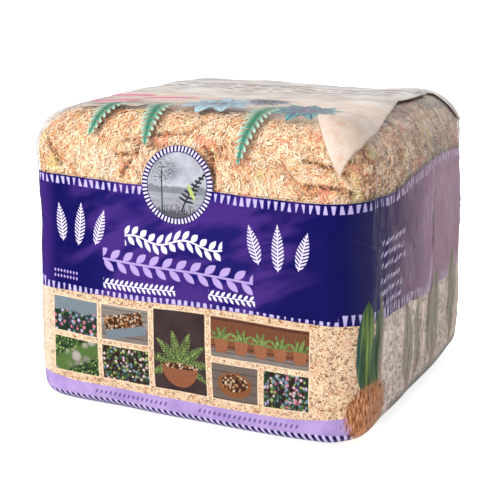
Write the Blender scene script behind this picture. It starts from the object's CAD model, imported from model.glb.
"""Looks of the bagged moss bale: pressed moss under a printed, glossy film bag on a pale studio floor."""

import math
from functools import partialmethod

import bmesh
import bpy
import numpy as np
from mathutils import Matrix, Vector, noise
from mathutils.bvhtree import BVHTree


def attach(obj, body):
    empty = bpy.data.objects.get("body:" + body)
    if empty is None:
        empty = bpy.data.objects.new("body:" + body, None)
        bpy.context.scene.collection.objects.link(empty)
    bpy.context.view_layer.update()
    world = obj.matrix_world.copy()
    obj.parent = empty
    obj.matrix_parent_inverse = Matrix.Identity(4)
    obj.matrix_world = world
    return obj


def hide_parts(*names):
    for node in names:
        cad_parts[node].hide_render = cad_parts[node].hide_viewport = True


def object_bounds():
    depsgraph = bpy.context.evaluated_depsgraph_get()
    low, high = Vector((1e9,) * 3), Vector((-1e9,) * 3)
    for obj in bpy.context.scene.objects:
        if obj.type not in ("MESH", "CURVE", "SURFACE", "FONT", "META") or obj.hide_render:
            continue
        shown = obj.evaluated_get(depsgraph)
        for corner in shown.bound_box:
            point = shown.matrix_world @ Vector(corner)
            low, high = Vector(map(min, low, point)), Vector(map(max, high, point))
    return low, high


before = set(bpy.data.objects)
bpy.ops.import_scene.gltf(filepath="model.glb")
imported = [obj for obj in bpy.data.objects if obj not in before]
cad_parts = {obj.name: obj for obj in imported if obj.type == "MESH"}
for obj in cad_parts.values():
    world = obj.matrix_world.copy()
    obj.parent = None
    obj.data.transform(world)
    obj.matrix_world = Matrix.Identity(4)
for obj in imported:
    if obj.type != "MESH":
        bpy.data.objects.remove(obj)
cad_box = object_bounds()

# The noise starts from the same place in every run
NOISE_SEED = 11
noise.seed_set(NOISE_SEED)

MM = 0.001
CENTRE = Vector((0, 0, (cad_box[0].z + cad_box[1].z) / 2))

# The block's half sizes and height, inside the frame's box because the film swells past it
HALF_WIDTH = (cad_box[1].x - cad_box[0].x) / 2 - 1.2 * MM
HALF_DEPTH = (cad_box[1].y - cad_box[0].y) / 2 - 1.2 * MM
HEIGHT = cad_box[1].z - 2.5 * MM

# Radii of the block's upright corners, top shoulder and foot
CORNER = 15 * MM
SHOULDER = 20 * MM
FOOT = 9 * MM
QUARTER = math.pi / 2

# Lengths round the girth, from the middle of the front to the middle of the back
FRONT_FLAT = HALF_WIDTH - CORNER
SIDE_FLAT = 2 * (HALF_DEPTH - CORNER)
CORNER_ARC = CORNER * QUARTER
HALF_GIRTH = 2 * FRONT_FLAT + SIDE_FLAT + 2 * CORNER_ARC
BACK_START = HALF_GIRTH - FRONT_FLAT

# Places along the profile, measured up the wall and then in over the top
SHOULDER_START = HEIGHT - SHOULDER
TOP_START = SHOULDER_START + SHOULDER * QUARTER
BASE_END = FOOT - FOOT * QUARTER

# The printed band
BAND_TOP = 115.5 * MM
BAND_BASE = 59.0 * MM

# The film's real thickness
FILM = 0.12 * MM


def together(*parts):
    """Coordinates side by side, one row for each point. A plain number counts for every point."""
    return np.stack(np.broadcast_arrays(*parts), axis=1)


def ring(round_by, inset):
    """Plan outline at an inset: round_by is along the girth from the middle of the front, right positive."""
    side = np.where(round_by < 0, -1.0, 1.0)
    run = np.abs(round_by)
    half_x = HALF_WIDTH - inset
    half_y = HALF_DEPTH - inset
    radius = np.minimum(np.maximum(CORNER - 0.6 * inset, 3.5 * MM), 0.9 * half_y)
    flat_x, flat_y = half_x - radius, half_y - radius
    ends = np.cumsum([FRONT_FLAT, CORNER_ARC, SIDE_FLAT, CORNER_ARC])
    near_turn = np.clip((run - ends[0]) / CORNER_ARC, 0, 1) * QUARTER
    far_turn = np.clip((run - ends[2]) / CORNER_ARC, 0, 1) * QUARTER
    along_side = np.clip((run - ends[1]) / SIDE_FLAT, 0, 1)

    def pick(*stretches):
        return np.select([run < end for end in ends], stretches[:4], stretches[4])

    near_x, near_y, far_x, far_y = np.sin(near_turn), np.cos(near_turn), np.cos(far_turn), np.sin(far_turn)
    front, back = run * flat_x / FRONT_FLAT, flat_x * (1 - (run - ends[3]) / FRONT_FLAT)
    x = pick(front, flat_x + radius * near_x, half_x, flat_x + radius * far_x, back)
    along = -flat_y + 2 * flat_y * along_side
    y = pick(-half_y, -flat_y - radius * near_y, along, flat_y + radius * far_y, half_y)
    return x * side, y, pick(0.0, near_x, 1.0, far_x, 0.0) * side, pick(-1.0, -near_y, 0.0, far_y, 1.0)


def profile(climb):
    """Inset, height and the outward direction's level and upright shares, at a length up the wall."""
    foot_turn = np.clip((FOOT - climb) / FOOT, 0, QUARTER)
    top_turn = np.clip((climb - SHOULDER_START) / SHOULDER, 0, QUARTER)
    inset = FOOT * (1 - np.cos(foot_turn)) + SHOULDER * (1 - np.cos(top_turn))
    inset = inset + np.maximum(BASE_END - climb, 0) + np.maximum(climb - TOP_START, 0)
    wall = np.clip(climb, FOOT, SHOULDER_START)
    height = wall - FOOT * np.sin(foot_turn) + SHOULDER * np.sin(top_turn)
    return inset, height, np.cos(foot_turn) * np.cos(top_turn), np.sin(top_turn) - np.sin(foot_turn)


def ripple(points, waves, seed=0.0):
    """Smooth noise from -1 to 1 at each point; waves is per metre, one number or one for each axis."""
    return np.array([noise.noise(p) for p in (points * np.asarray(waves) + seed).tolist()])


def drift(points):
    """A smooth random vector at each point."""
    return np.array([noise.noise_vector(p) for p in points.tolist()])


def ridges(points, waves, seed, sharpness=3):
    """Narrow ridges where the noise passes zero, from 0 to 1."""
    return np.clip(1 - np.abs(ripple(points, waves, seed)) * sharpness, 0, 1) ** 2


def smooth_step(value, low, high):
    share = np.clip((value - low) / (high - low), 0, 1)
    return share * share * (3 - 2 * share)


# How the pressed block departs from a rounded box
TAPER = 0.010
SWELL = 2.4 * MM
LUMP = 1.3 * MM
LUMP_WAVES = 17.0
LEFT_DROP = 3.0 * MM
LEFT_BULGE = 2.0 * MM
EDGE_TUCK = 1.1 * MM
CORNER_LIFT = 3.2 * MM
FOOT_LIFT = 3.2 * MM
BACK_LIFT = 3.0 * MM
BASE_RISE = 0.45 * MM
VALLEY_DEPTH = 2.2 * MM


def settle(points):
    """Shapes every piece alike: the block sags and swells, and its left shoulder lies lower."""
    x, y, z = points.T
    across, back, up = x / HALF_WIDTH, y / HALF_DEPTH, 2 * z / HEIGHT - 1
    left, right = np.clip(-across, 0, 1), np.clip(across, 0, 1)
    round_off = np.clip(1 - up * up, 0, 1)
    moved = points.copy()
    moved[:, 0] += x * (-TAPER * up) + SWELL * across * (1 - back * back) * round_off
    moved[:, 1] += y * (-TAPER * up) + SWELL * back * (1 - across * across) * round_off
    moved[:, 0] -= LEFT_BULGE * left**4 * smooth_step(up, 0.35, 0.9)
    moved[:, 0] -= EDGE_TUCK * right**4 * smooth_step(up, 0, 0.6) * smooth_step(back, -0.2, 0.8)
    moved[:, 2] -= LEFT_DROP * left**2 * smooth_step(up, 0, 1) * (1 - smooth_step(back, -0.7, 0.1))
    moved[:, 2] += EDGE_TUCK * right**4 * smooth_step(back, 0, 0.8) * smooth_step(up, 0.2, 1)
    lift = FOOT_LIFT * smooth_step(back, -1.0, -0.5) + BACK_LIFT * smooth_step(back, 0.3, 1.1)
    corner = CORNER_LIFT * (1 - smooth_step(back, -0.92, -0.72)) * right**3
    moved[:, 2] += (lift * right**6 + corner) * smooth_step(-up, 0.2, 1)
    valley = (1 - smooth_step(np.abs(y), 7 * MM, 12 * MM)) * (1 - smooth_step(np.abs(x), 75 * MM, 81 * MM))
    moved[:, 2] += (1 - smooth_step(z, 2 * MM, 6 * MM)) * (BASE_RISE + VALLEY_DEPTH * valley)
    return moved + drift(points * LUMP_WAVES) * (LUMP * smooth_step(up, -1.0, -0.6))[:, None]


def surface(round_by, climb, lift=0.0):
    """Points at a distance out from the block's face, before it settles."""
    inset, height, level, upright = profile(climb)
    x, y, out_x, out_y = ring(round_by, inset)
    return together(x + out_x * level * lift, y + out_y * level * lift, height + upright * lift)


def film_lift(round_by, climb):
    """How far the film stands off the block: soft lumps everywhere, upright creases on the sides."""
    run = np.abs(round_by)
    flat = together(round_by, climb, 0.0)
    slanted = together(round_by + 0.8 * climb, climb - 0.8 * round_by, 0.0)
    on_side = smooth_step(run, FRONT_FLAT + 6 * MM, FRONT_FLAT + CORNER_ARC + 8 * MM)
    on_side = on_side * (1 - smooth_step(run, BACK_START - CORNER_ARC, BACK_START))
    wall = smooth_step(climb, 4 * MM, 20 * MM) * (1 - smooth_step(climb, 128 * MM, 145 * MM))
    band = smooth_step(climb, BAND_BASE - 15 * MM, BAND_BASE)
    band = band * (1 - smooth_step(climb, BAND_TOP, BAND_TOP + 6 * MM))
    creases = 0.75 * MM * ridges(flat, (150.0, 16.0, 1.0), 11.0)
    creases = creases + 0.35 * MM * ridges(flat, (330.0, 30.0, 1.0), 3.0)
    pulls = ridges(slanted, (90.0, 12.0, 1.0), 21.0, 4)
    fold = np.clip(1 - np.abs(run - (170 * MM + 0.09 * climb)) / (7 * MM), 0, 1) ** 2
    lift = 0.7 * MM + 0.9 * MM * ripple(surface(round_by, climb), 42.0, 5.0)
    lift = lift + on_side * wall * creases
    lift = lift + wall * 0.45 * MM * pulls * (0.35 + 0.65 * on_side)
    lift = lift + band * (1 - on_side) * 0.8 * MM * ripple(flat, (10.0, 38.0, 1.0), 31.0)
    lift = lift - on_side * wall * 1.6 * MM * fold
    return lift * smooth_step(climb, BASE_END, 0.9 * FOOT)


def on_block(round_by, climb, lift):
    return settle(surface(round_by, climb, lift))


# Meshes and pieces


def read(items, key, width=1, kind=float):
    """One value or one row of values for each of a mesh's items."""
    values = np.empty(len(items) * width, dtype=kind)
    items.foreach_get(key, values)
    return values.reshape(-1, width) if width > 1 else values


def weld(mesh, within):
    joined = bmesh.new()
    joined.from_mesh(mesh)
    bmesh.ops.remove_doubles(joined, verts=joined.verts, dist=within)
    joined.to_mesh(mesh)
    joined.free()


def grid_mesh(name, columns, rows, size):
    grid = bmesh.new()
    bmesh.ops.create_grid(grid, x_segments=columns, y_segments=rows, size=size)
    mesh = bpy.data.meshes.new(name)
    grid.to_mesh(mesh)
    grid.free()
    return mesh


def bend_grid(name, columns, rows, place, closed=False):
    """A flat grid bent into shape. place() takes shares across and up, and gives points and print places."""
    mesh = grid_mesh(name, columns, rows, 0.5)
    points, flat = place(*(read(mesh.vertices, "co", 3)[:, :2] + 0.5).T)
    mesh.vertices.foreach_set("co", np.ascontiguousarray(points).ravel())
    corners = read(mesh.loops, "vertex_index", kind=np.int32)
    mesh.uv_layers.new(name="Print").uv.foreach_set("vector", flat[corners].ravel())
    if closed:
        weld(mesh, 0.02 * MM)
    mesh.update()
    middle = mesh.polygons[len(mesh.polygons) // 2]
    if middle.normal.dot(middle.center - CENTRE) < 0:
        mesh.flip_normals()
    return mesh


def add(name, data):
    """Puts data in the scene as a new object."""
    made = bpy.data.objects.new(name, data)
    bpy.context.scene.collection.objects.link(made)
    return made


def piece(name, mesh, materials, slot, nodes=(), thickness=0.0):
    """Puts a mesh in the scene as a piece of the pack, in place of the frame's nodes."""
    made = add(name, mesh)
    for material in materials:
        mesh.materials.append(material)
    mesh.shade_smooth()
    if thickness:
        wall = made.modifiers.new("Film", "SOLIDIFY")
        wall.thickness = thickness
        wall.offset = 1.0
    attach(made, "root")
    if nodes:
        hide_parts(*nodes)
    return made


# Shader tools


class Wire:
    """A socket of a material. Arithmetic on it adds Math nodes."""

    def __init__(self, paint, socket):
        self.paint = paint
        self.socket = socket

    def math(self, operation, *others):
        return self.paint.node("Math", {"operation": operation}, dict(enumerate((self, *others))))

    def __rsub__(self, other):
        return self.paint.node("Math", {"operation": "SUBTRACT"}, {0: other, 1: self})

    __add__ = __radd__ = partialmethod(math, "ADD")
    __sub__ = partialmethod(math, "SUBTRACT")
    __mul__ = __rmul__ = partialmethod(math, "MULTIPLY")
    __truediv__ = partialmethod(math, "DIVIDE")
    __lt__ = partialmethod(math, "LESS_THAN")
    __gt__ = partialmethod(math, "GREATER_THAN")
    __abs__ = partialmethod(math, "ABSOLUTE")
    floor = partialmethod(math, "FLOOR")
    fract = partialmethod(math, "FRACT")
    least = partialmethod(math, "MINIMUM")
    most = partialmethod(math, "MAXIMUM")
    power = partialmethod(math, "POWER")
    sine = partialmethod(math, "SINE")
    cosine = partialmethod(math, "COSINE")

    def off_middle(self):
        """How far the value is from the middle of its unit, 0 to 0.5."""
        return abs(self.fract() - 0.5)

    def step(self, low, high):
        """0 below low, 1 above high, smooth between."""
        inputs = {"Value": self, "From Min": low, "From Max": high}
        return self.paint.node("MapRange", {"interpolation_type": "SMOOTHSTEP"}, inputs)

    def above(self, limit, soft=0.12):
        """1 where the value is over the limit."""
        if isinstance(limit, Wire):
            return (self - limit).step(-soft, soft)
        return self.step(limit - soft, limit + soft)

    def below(self, limit, soft=0.12):
        if isinstance(limit, Wire):
            return (limit - self).step(-soft, soft)
        return self.step(limit + soft, limit - soft)


class Paint:
    """The node tree of a new material, or of the owner that is given."""

    def __init__(self, name, owner=None):
        self.owner = owner or bpy.data.materials.new(name)
        self.owner.use_nodes = True
        self.tree = self.owner.node_tree
        self.tree.nodes.clear()

    def node(self, kind, settings=None, inputs=None, output=0):
        made = self.tree.nodes.new("ShaderNode" + kind)
        for name, value in (settings or {}).items():
            if name == "stops":
                self.set_stops(made.color_ramp, value)
            else:
                setattr(made, name, value)
        for key, value in (inputs or {}).items():
            if isinstance(value, Wire):
                self.tree.links.new(value.socket, made.inputs[key])
            elif isinstance(value, tuple) and len(value) == 3 and made.inputs[key].type == "RGBA":
                made.inputs[key].default_value = (*value, 1.0)
            else:
                made.inputs[key].default_value = value
        return Wire(self, made.outputs[output]) if made.outputs else None

    def set_stops(self, ramp, stops):
        while len(ramp.elements) < len(stops):
            ramp.elements.new(1.0)
        for element, (place, colour) in zip(ramp.elements, stops):
            element.position = place
            element.color = (*colour, 1.0)

    def split(self, vector):
        """X, Y and Z of a vector."""
        parts = self.node("SeparateXYZ", inputs={0: vector}).socket.node
        return [Wire(self, parts.outputs[axis]) for axis in range(3)]

    def join(self, x, y, z=0.0):
        return self.node("CombineXYZ", inputs={0: x, 1: y, 2: z})

    def place(self):
        return self.node("TexCoord", output=3)

    def print_place(self):
        """Place on the piece's own print map, in millimetres."""
        x, y, _ = self.split(self.node("UVMap", {"uv_map": "Print"}))
        return Flat(self, x * 1000, y * 1000)

    def attribute(self, name):
        return self.node("Attribute", {"attribute_name": name}, output=2)

    def noise(self, vector, scale, detail=2.0, roughness=0.5, distortion=0.0, output=0):
        inputs = {"Vector": vector, "Scale": scale, "Detail": detail, "Roughness": roughness}
        return self.node("TexNoise", None, {**inputs, "Distortion": distortion}, output)

    def cells(self, vector, scale, output):
        return self.node("TexVoronoi", None, {"Vector": vector, "Scale": scale}, output)

    def chance(self, value):
        """A random number from 0 to 1 for each whole value."""
        return self.node("TexWhiteNoise", {"noise_dimensions": "1D"}, {"W": value})

    def mix(self, share, first, second, blend="MIX"):
        settings = {"data_type": "RGBA", "blend_type": blend, "clamp_factor": True}
        return self.node("Mix", settings, {0: share, 6: first, 7: second}, 2)

    def layers(self, colour, *coats):
        """Lays coats over a colour in turn. Each is (share, colour) or (share, colour, blend)."""
        for share, *coat in coats:
            colour = self.mix(share, colour, *coat)
        return colour

    def ramp(self, value, stops, interpolation="LINEAR"):
        made = self.node("ValToRGB", {"stops": stops}, {0: value})
        made.socket.node.color_ramp.interpolation = interpolation
        return made

    def bump(self, height, distance, strength=1.0):
        return self.node("Bump", None, {"Height": height, "Distance": distance, "Strength": strength})

    def surface(self, shader):
        self.node("OutputMaterial", None, {"Surface": shader})
        return self.owner

    def matt(self, colour, roughness, normal):
        inputs = {"Base Color": colour, "Roughness": roughness, "Normal": normal}
        return self.surface(self.node("BsdfPrincipled", None, inputs))


def tone(*screen):
    """A colour in linear light from its 8-bit screen value."""
    shares = [value / 255 for value in screen]
    return tuple(s / 12.92 if s <= 0.04045 else ((s + 0.055) / 1.055) ** 2.4 for s in shares)


# Moss

STRAW = tone(224, 203, 176)
CREAM = tone(232, 223, 207)
TAN = tone(212, 177, 141)
ORANGE = tone(214, 146, 90)
BROWN = tone(146, 90, 50)
DARK = tone(78, 48, 28)
SAGE = tone(214, 208, 138)
ROSE = tone(230, 136, 108)


def moss_paint():
    """Pressed ground of the block: tan and brown, darker in the hollows between strands."""
    paint = Paint("moss_ground")
    fine = paint.noise(paint.place(), 900.0, 3.0, 0.6)
    patches = paint.noise(paint.place(), 60.0, 3.0, 0.6)
    colour = paint.layers(
        paint.ramp(fine, [(0.26, BROWN), (0.36, ORANGE), (0.46, TAN), (0.62, STRAW)]),
        (patches.step(0.45, 0.75) * 0.6, paint.ramp(fine, [(0.3, BROWN), (0.55, ORANGE), (0.8, STRAW)])),
        (paint.attribute("gap") * 0.85, DARK),
    )
    return paint.matt(colour, 0.95, paint.bump(fine, 0.6 * MM))


def strand_paint():
    """Dried strands: each keeps its own tone, with fine flecks, and duller clods on the right side."""
    paint = Paint("moss_strand")
    place = paint.place()
    on_right = paint.split(place)[0].step(0.074, 0.086)
    patch = paint.noise(place, 45.0, 2.0)
    clump = paint.noise(place, 260.0, 2.0, 0.6)
    shade = paint.attribute("strand_tone") + (patch - 0.5) * 0.5 + (clump - 0.5) * (on_right * 1.3 + 0.5)
    stops = [(0.00, DARK), (0.10, BROWN), (0.24, ORANGE), (0.40, TAN), (0.58, STRAW), (0.88, CREAM)]
    flecks = paint.noise(place, 1500.0, 2.0, 0.7)
    specks = paint.noise(place, 620.0, 2.0, 0.65)
    warmth = paint.noise(place, 95.0, 2.0, 0.6)
    clods = paint.noise(place, 150.0, 3.0, 0.7)
    rosy, sage, _ = paint.split(paint.noise(place, 70.0, 1.0, output=1))
    colour = paint.layers(
        paint.ramp(shade, stops),
        (flecks.step(0.52, 0.70) * 0.55, ORANGE, "MULTIPLY"),
        (specks.below(0.385, 0.04) * 0.7, BROWN),
        (warmth.step(0.48, 0.66) * 0.45, tone(244, 212, 168), "MULTIPLY"),
        (on_right * 0.7, tone(250, 236, 208), "MULTIPLY"),
        (on_right * clods.step(0.52, 0.40) * 0.8, BROWN),
        (on_right * clods.step(0.54, 0.64) * 0.75, CREAM),
        (rosy.step(0.62, 0.70) * 0.55, ROSE),
        (sage.step(0.62, 0.70) * 0.5, SAGE),
    )
    return paint.matt(colour, 0.85, paint.bump(flecks, 0.2 * MM, 0.7))


def crack_depth(points):
    """Dark gaps between the pressed handfuls of moss, from 0 to 1."""
    places = (points + drift(points * 60.0) * (6 * MM)) * 30.0
    gaps = np.array([noise.voronoi(p, distance_metric="DISTANCE")[0] for p in places.tolist()])
    return 1 - smooth_step(gaps[:, 1] - gaps[:, 0], 0.0, 0.13)


# Long gaps between handfuls that show through the film: girth and climb in millimetres
LONG_GAPS = [
    [(-35.3, 128.3), (-24.3, 129.2), (-22.1, 139.2), (-1.5, 140.4), (7.4, 147.6)],
    [(-32.3, 118.1), (-27.2, 126.7)],
    [(10.3, 134.3), (15.4, 129.4), (13.5, 121.6)],
    [(-79.7, 139.0), (-71.4, 129.1), (-67.0, 121.1)],
    [(59.7, 132.4), (76.1, 128.7), (79.6, 126.9)],
    [(59.6, 120.6), (75.0, 120.8), (82.7, 118.2)],
    [(99.7, 126.0), (108.4, 119.8)],
    [(112.0, 131.0), (118.0, 124.0), (131.0, 126.0)],
]


def gap_depth(round_by, climb):
    """All the dark gaps, from 0 to 1, at places on the block: a net of short ones, and the long ones."""
    rest = surface(round_by, climb)
    depth = 0.55 * crack_depth(rest) * smooth_step(ripple(rest, 34.0, 17.0), -0.15, 0.35)
    wander = 0.9 * MM * ripple(rest, 240.0, 41.0)
    for line in LONG_GAPS:
        for start, end in zip(line, line[1:]):
            run_x, run_y = (end[0] - start[0]) * MM, (end[1] - start[1]) * MM
            off_x, off_y = round_by - start[0] * MM, climb - start[1] * MM
            share = np.clip((off_x * run_x + off_y * run_y) / (run_x**2 + run_y**2), 0, 1)
            near = np.hypot(off_x - share * run_x, off_y - share * run_y)
            depth = np.maximum(depth, 1 - smooth_step(near + wander, 0.2 * MM, 1.7 * MM))
    return depth


def build_moss_block(material):
    """The block under the film, fine where the film is clear and coarse where the print hides it."""
    low_rows, high_rows, columns = 8, 98, 400
    window = 104 * MM
    top_end = TOP_START + HALF_DEPTH - SHOULDER - 1.0 * MM
    base_end = BASE_END - (HALF_DEPTH - FOOT - 1.0 * MM)

    def place(across, up):
        row = up * (low_rows + high_rows)
        low = base_end + (window - base_end) * np.clip(row / low_rows, 0, 1)
        climb = low + (top_end - window) * np.clip((row - low_rows) / high_rows, 0, 1)
        round_by = (across * 2 - 1) * HALF_GIRTH
        rough = 3.0 * gap_depth(round_by, climb)
        rough = rough + 0.9 * np.abs(ripple(surface(round_by, climb), 260.0, 7.0))
        hollow = smooth_step(climb, 96 * MM, 106 * MM) * rough * MM
        lift = film_lift(round_by, climb) - 1.5 * MM - hollow
        return on_block(round_by, climb, lift), together(round_by, climb)

    mesh = bend_grid("moss_block", columns, low_rows + high_rows, place, closed=True)
    places = np.zeros((len(mesh.vertices), 2))
    places[read(mesh.loops, "vertex_index", kind=np.int32)] = read(mesh.uv_layers["Print"].uv, "vector", 2)
    gaps = gap_depth(*places.T).astype(np.float32)
    mesh.attributes.new("gap", "FLOAT", "POINT").data.foreach_set("value", gaps)
    return piece("moss_block", mesh, [material], "dried_moss", ["moss_bale"])


def shaded(round_by, climb):
    """True in the brown zone behind the folds at the top of the right side."""
    low = MM * np.interp(round_by / MM, [125, 135, 205, 224], [152, 142, 146, 134])
    return (round_by > 125 * MM) & (round_by < 228 * MM) & (climb > low) & (climb < low + 9 * MM)


# A strand's thickness at each of its points, as a share of its width
STRAND_TAPER = [0.0, 0.8, 1.0, 0.95, 0.7, 0.0]
STRAND_POINTS = len(STRAND_TAPER)


def build_strands(name, count, zone, seed, material, shade=1.0, contrast=0.7):
    """Thin curled strands pressed between block and film. zone is (girth from, to, climb from, to)."""
    random = np.random.default_rng(seed)
    start_round = random.uniform(zone[0], zone[1], count)
    start_climb = random.uniform(zone[2], zone[3], count)
    heading = random.uniform(0, 2 * math.pi, count)
    length = random.gamma(5.0, 1.15 * MM, count)
    turn = random.normal(0, 0.55, count)
    depth = random.uniform(0.25 * MM, 1.7 * MM, count)
    width = random.uniform(0.20 * MM, 0.42 * MM, count)
    tones = np.clip(0.54 + contrast * (random.beta(2.2, 2.0, count) - 0.5), 0.02, 0.99)
    places = []
    round_by, climb = start_round, start_climb
    for step in np.linspace(0, 1, STRAND_POINTS):
        sunk = -depth * (0.55 + 0.45 * np.cos(math.pi * 2 * (step - 0.5) * 0.8)) - 0.2 * MM
        places.append(together(round_by, climb, sunk))
        round_by = round_by + np.cos(heading) * length / STRAND_POINTS
        climb = climb + np.sin(heading) * length / STRAND_POINTS
        heading = heading + turn + random.normal(0, 0.45, count)
    round_by, climb, sunk = np.stack(places, axis=1).reshape(-1, 3).T
    gaps = gap_depth(round_by, climb)
    lift = sunk + film_lift(round_by, climb) - 0.5 * MM - 2.0 * MM * gaps
    tones = shade * tones * (1 - 0.8 * gaps.reshape(count, -1).mean(axis=1))
    tones = np.where(shaded(start_round, start_climb), 0.25 * tones, tones)
    points = on_block(round_by, climb, lift).reshape(count, STRAND_POINTS, 3)
    return strand_mesh(name, points, width, tones, material)


def strand_mesh(name, points, width, tones, material):
    """One curve with a line for each strand, made a mesh that carries each strand's tone."""
    curve = bpy.data.curves.new(name, "CURVE")
    curve.dimensions = "3D"
    curve.bevel_depth = 1.0
    curve.bevel_resolution = 0
    for line, wide in zip(points, width):
        spline = curve.splines.new("POLY")
        spline.points.add(STRAND_POINTS - 1)
        spline.points.foreach_set("co", np.column_stack([line, np.ones(STRAND_POINTS)]).ravel())
        spline.points.foreach_set("radius", np.array(STRAND_TAPER) * wide)
    holder = add(name + "_lines", curve)
    mesh = bpy.data.meshes.new_from_object(holder.evaluated_get(bpy.context.evaluated_depsgraph_get()))
    mesh.name = name
    bpy.data.objects.remove(holder, do_unlink=True)
    bpy.data.curves.remove(curve)
    each = len(mesh.vertices) // len(points)
    layer = mesh.attributes.new("strand_tone", "FLOAT", "POINT")
    layer.data.foreach_set("value", np.repeat(tones, each).astype(np.float32))
    weld(mesh, 0.002 * MM)
    return piece(name, mesh, [material], "dried_moss")


# Colours of the print

NAVY = tone(5, 4, 74)
INDIGO = tone(22, 15, 92)
VIOLET = tone(62, 34, 114)
MAUVE = tone(126, 92, 110)
LAVENDER = tone(160, 138, 192)
PALE = tone(202, 192, 222)
WHITE = tone(216, 210, 228)
HAZE = tone(184, 172, 163)
CLOUD = tone(221, 215, 210)
PINK_HAZE = tone(240, 216, 194)
TICK = tone(172, 160, 206)
PRINT_LIGHT = tone(228, 202, 170)
PRINT_MID = tone(212, 170, 130)
PRINT_DARK = tone(96, 62, 44)
LEAF_DARK = tone(36, 60, 44)
LEAF_GREEN = tone(92, 122, 58)
LEAF_PALE = tone(168, 190, 104)
TEAL = tone(128, 190, 166)
TEAL_DARK = tone(46, 110, 88)
TEAL_PALE = tone(206, 232, 216)
SLATE = tone(132, 160, 174)
SLATE_DARK = tone(54, 78, 110)
SLATE_PALE = tone(184, 208, 208)
PETAL = tone(226, 128, 152)
PETAL_PALE = tone(238, 200, 208)
PLUM = tone(96, 66, 104)
EARTH = tone(78, 46, 30)
RUST = tone(176, 112, 66)
BARK = tone(58, 40, 38)

# Print measures in millimetres: along the girth from the middle of the front, and up the wall
HALF_ROUND = HALF_GIRTH / MM
BAND_TOP_LINE = [
    *((0, 115.0), (30, 114.6), (70, 115.6), (84, 116.1)),
    *((114, 114.1), (172, 119.8), (215, 119.3), (319.4, 115.0)),
]
BAND_BASE_LINE = [
    *((0, 59.6), (41, 60.2), (84, 59.3), (111, 57.2)),
    *((162, 53.8), (219, 54.3), (250, 58.0), (319.4, 59.6)),
]
TICK_PITCH = 3.3
BADGE_X, BADGE_Z, BADGE_RADIUS = -1.8, 115.9, 18.3
BADGE_DASHES = 58


class Flat:
    """Two print coordinates in millimetres, with the shapes that the print is drawn from."""

    def __init__(self, paint, x, y):
        self.paint, self.x, self.y = paint, x, y

    def at(self, x, y):
        return Flat(self.paint, self.x - x, self.y - y)

    def point(self):
        return self.paint.join(self.x, self.y)

    def turned(self, degrees):
        inputs = {"Vector": self.point(), "Angle": -math.radians(degrees)}
        x, y, _ = self.paint.split(self.paint.node("VectorRotate", {"rotation_type": "Z_AXIS"}, inputs))
        return Flat(self.paint, x, y)

    def radius(self):
        return (self.x * self.x + self.y * self.y).power(0.5)

    def angle(self):
        return self.y.math("ARCTAN2", self.x)

    def streaks(self, x, y, *grain):
        """Noise drawn out along an axis: waves per millimetre in x and y, then detail and roughness."""
        return self.paint.noise(self.paint.join(self.x * x, self.y * y), 1.0, *grain)

    def row(self, pitch):
        """The same shapes again and again along x, each centred in its cell."""
        return Flat(self.paint, ((self.x / pitch).fract() - 0.5) * pitch, self.y)

    def fan(self, count, twist=0.0):
        """Copies about the centre: x runs outwards, y across."""
        part = 2 * math.pi / count
        bend = (((self.angle() + twist) / part).fract() - 0.5) * part
        radius = self.radius()
        return Flat(self.paint, radius * bend.cosine(), radius * bend.sine())

    def box(self, left, right, low, high, soft=0.25):
        across = self.x.above(left, soft) * self.x.below(right, soft)
        return across * self.y.above(low, soft) * self.y.below(high, soft)

    def leaf(self, start, length, half_width, soft=0.2):
        """A leaf that points along x."""
        out = self.x - (start + length / 2)
        room = half_width - out * out * (4 * half_width / length**2)
        return (room - abs(self.y)).step(-soft, soft)

    def oval(self, half_x, half_y, soft=0.08):
        x, y = self.x / half_x, self.y / half_y
        return (x * x + y * y).power(0.5).below(1.0, soft)

    def frond(self, base, degrees, length, reach=4.4, pitch=1.7):
        """A fern frond: a stem with slanting leaflets that shorten towards its tip."""
        spot = self.at(*base).turned(degrees)
        off = abs(spot.y)
        share = (spot.x / length).most(0.001).least(0.999)
        room = share.power(0.7) * (1 - share) * (reach * 2.1)
        leaflets = ((spot.x - off * 0.7) / pitch).off_middle().below(0.27, 0.08)
        leaflets = leaflets * (room - off).step(-0.25, 0.25)
        return leaflets.most(off.below(0.26, 0.12)) * spot.x.above(0.0, 0.3) * spot.x.below(length, 0.4)

    def blade(self, length, half_width, soft=0.3):
        """A broad blade along x: blunt at its foot, round at its tip."""
        share = (self.x - 0.52 * length) / (0.52 * length)
        share = share * share
        room = (1 - share * (share + 0.6) / 1.6) * half_width
        return (room - abs(self.y)).step(-soft, soft) * self.x.above(0.0, 0.5)

    def sprigs(self, pitch, foot, degrees, length, half_width, stem, soft=0.15):
        """A stem along x with slanting leaves on both sides in turn. foot is a leaf's start in its cell."""
        x, y = foot
        up = self.row(pitch).at(x, y).turned(degrees).leaf(0, length, half_width)
        down = self.at(pitch / 2, 0).row(pitch).at(x, -y).turned(-degrees).leaf(0, length, half_width)
        return up.most(down).most(abs(self.y).below(stem, soft))

    def line(self, start, end, width, soft=0.5):
        """A stroke from one point to another."""
        run_x, run_y = end[0] - start[0], end[1] - start[1]
        long = math.hypot(run_x, run_y)
        middle = ((start[0] + end[0]) / 2, (start[1] + end[1]) / 2)
        near = self.at(*middle).turned(math.degrees(math.atan2(run_y, run_x)))
        return abs(near.y).below(width, soft * width) * abs(near.x).below(long / 2, long * 0.12)


def trace(paint, value, points):
    """A line through (value, result) pairs."""
    first, last = points[0][0], points[-1][0]
    results = [result for _, result in points]
    low, span = min(results), max(results) - min(results)
    stops = [((place - first) / (last - first), (((result - low) / span),) * 3) for place, result in points]
    return paint.ramp((value - first) / (last - first), stops) * span + low


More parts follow.
